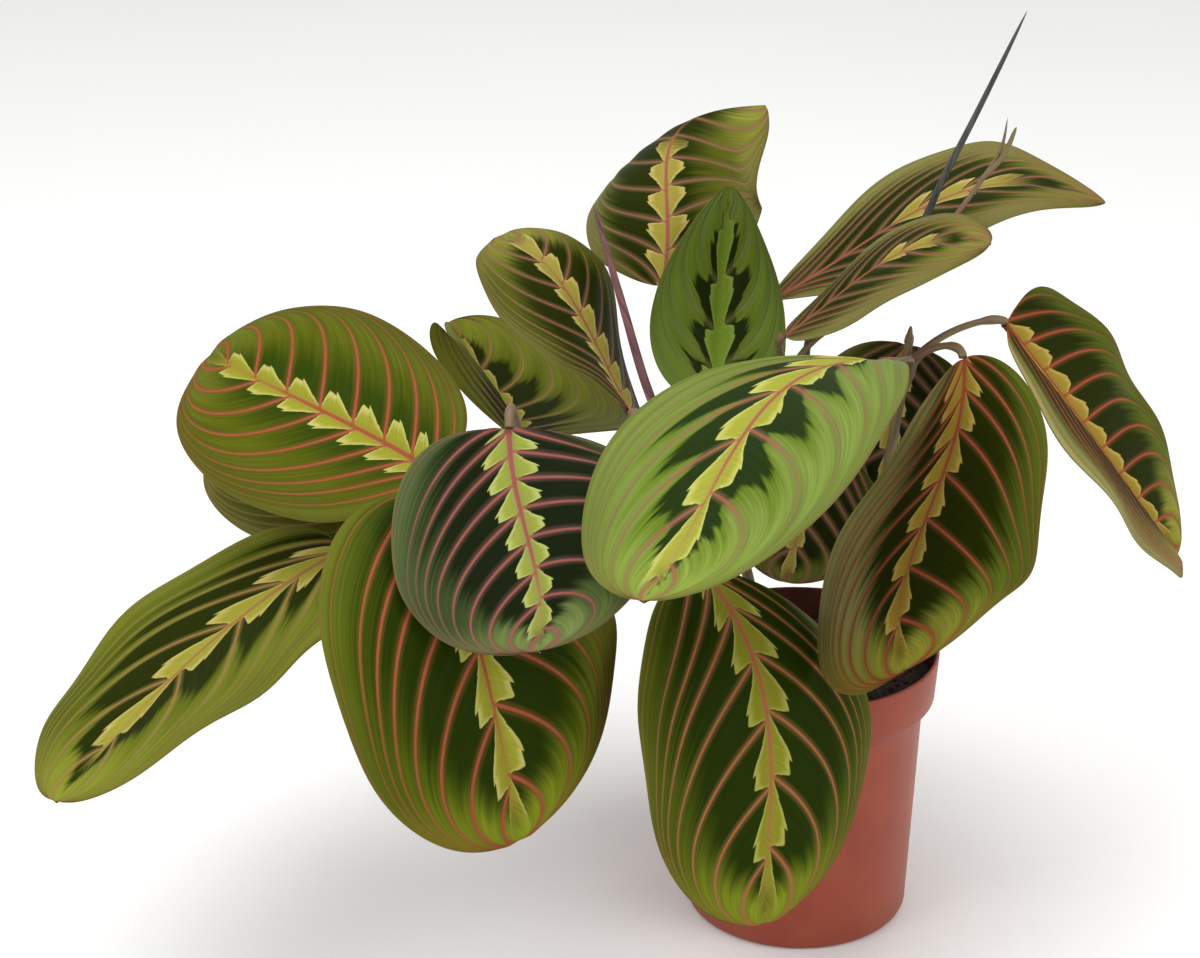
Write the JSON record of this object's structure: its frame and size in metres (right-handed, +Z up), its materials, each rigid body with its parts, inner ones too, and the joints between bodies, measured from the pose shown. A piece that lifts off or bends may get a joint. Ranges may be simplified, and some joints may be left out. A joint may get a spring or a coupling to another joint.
{
  "type": "potted prayer plant (maranta)",
  "caption": "Leafy prayer plant with broad patterned oval leaves on arching stalks, growing in a tapered plastic nursery pot filled with soil.",
  "frame": {"origin": "centre of the flat underside of the pot", "axes": "+Z up along the pot's axis, -Y towards the front that the picture shows, +X to the right of it"},
  "size_m": [0.4251, 0.3182, 0.3561],
  "materials": {
    "pot_plastic": "smooth satin terracotta plastic",
    "potting_soil": "matt crumbly dark soil",
    "stem": "satin living stalk, green to brown",
    "leaf_green": "satin living leaf, green with red veins",
    "leaf_bright": "satin living leaf, light green",
    "leaf_dark": "satin living leaf, dark grey-green",
    "rolled_shoot": "satin rolled young leaf, purple-brown"
  },
  "bodies": {
    "root": {"pot": "pot_plastic", "soil": "potting_soil", "stem_left": "stem", "stem_centre": "stem", "stem_upper_right": "stem", "stem_right": "stem", "stem_front": "stem", "stem_back": "stem", "leaf_left_round": "leaf_green", "leaf_left_under": "leaf_green", "leaf_far_left": "leaf_green", "leaf_front_left": "leaf_green", "leaf_dark_round": "leaf_dark", "leaf_bright_front": "leaf_bright", "leaf_right_big": "leaf_green", "leaf_far_right": "leaf_green", "leaf_over_pot": "leaf_green", "leaf_top": "leaf_green", "leaf_young_upright": "leaf_bright", "leaf_upper_left": "leaf_green", "leaf_small_left": "leaf_green", "leaf_upper_right": "leaf_green", "leaf_lower_right": "leaf_green", "leaf_shaded_right": "leaf_dark", "leaf_shaded_low": "leaf_dark", "leaf_back_left": "leaf_green", "leaf_back_right": "leaf_green", "shoot_brown": "rolled_shoot", "shoot_spike": "rolled_shoot"}
  },
  "joints": []
}
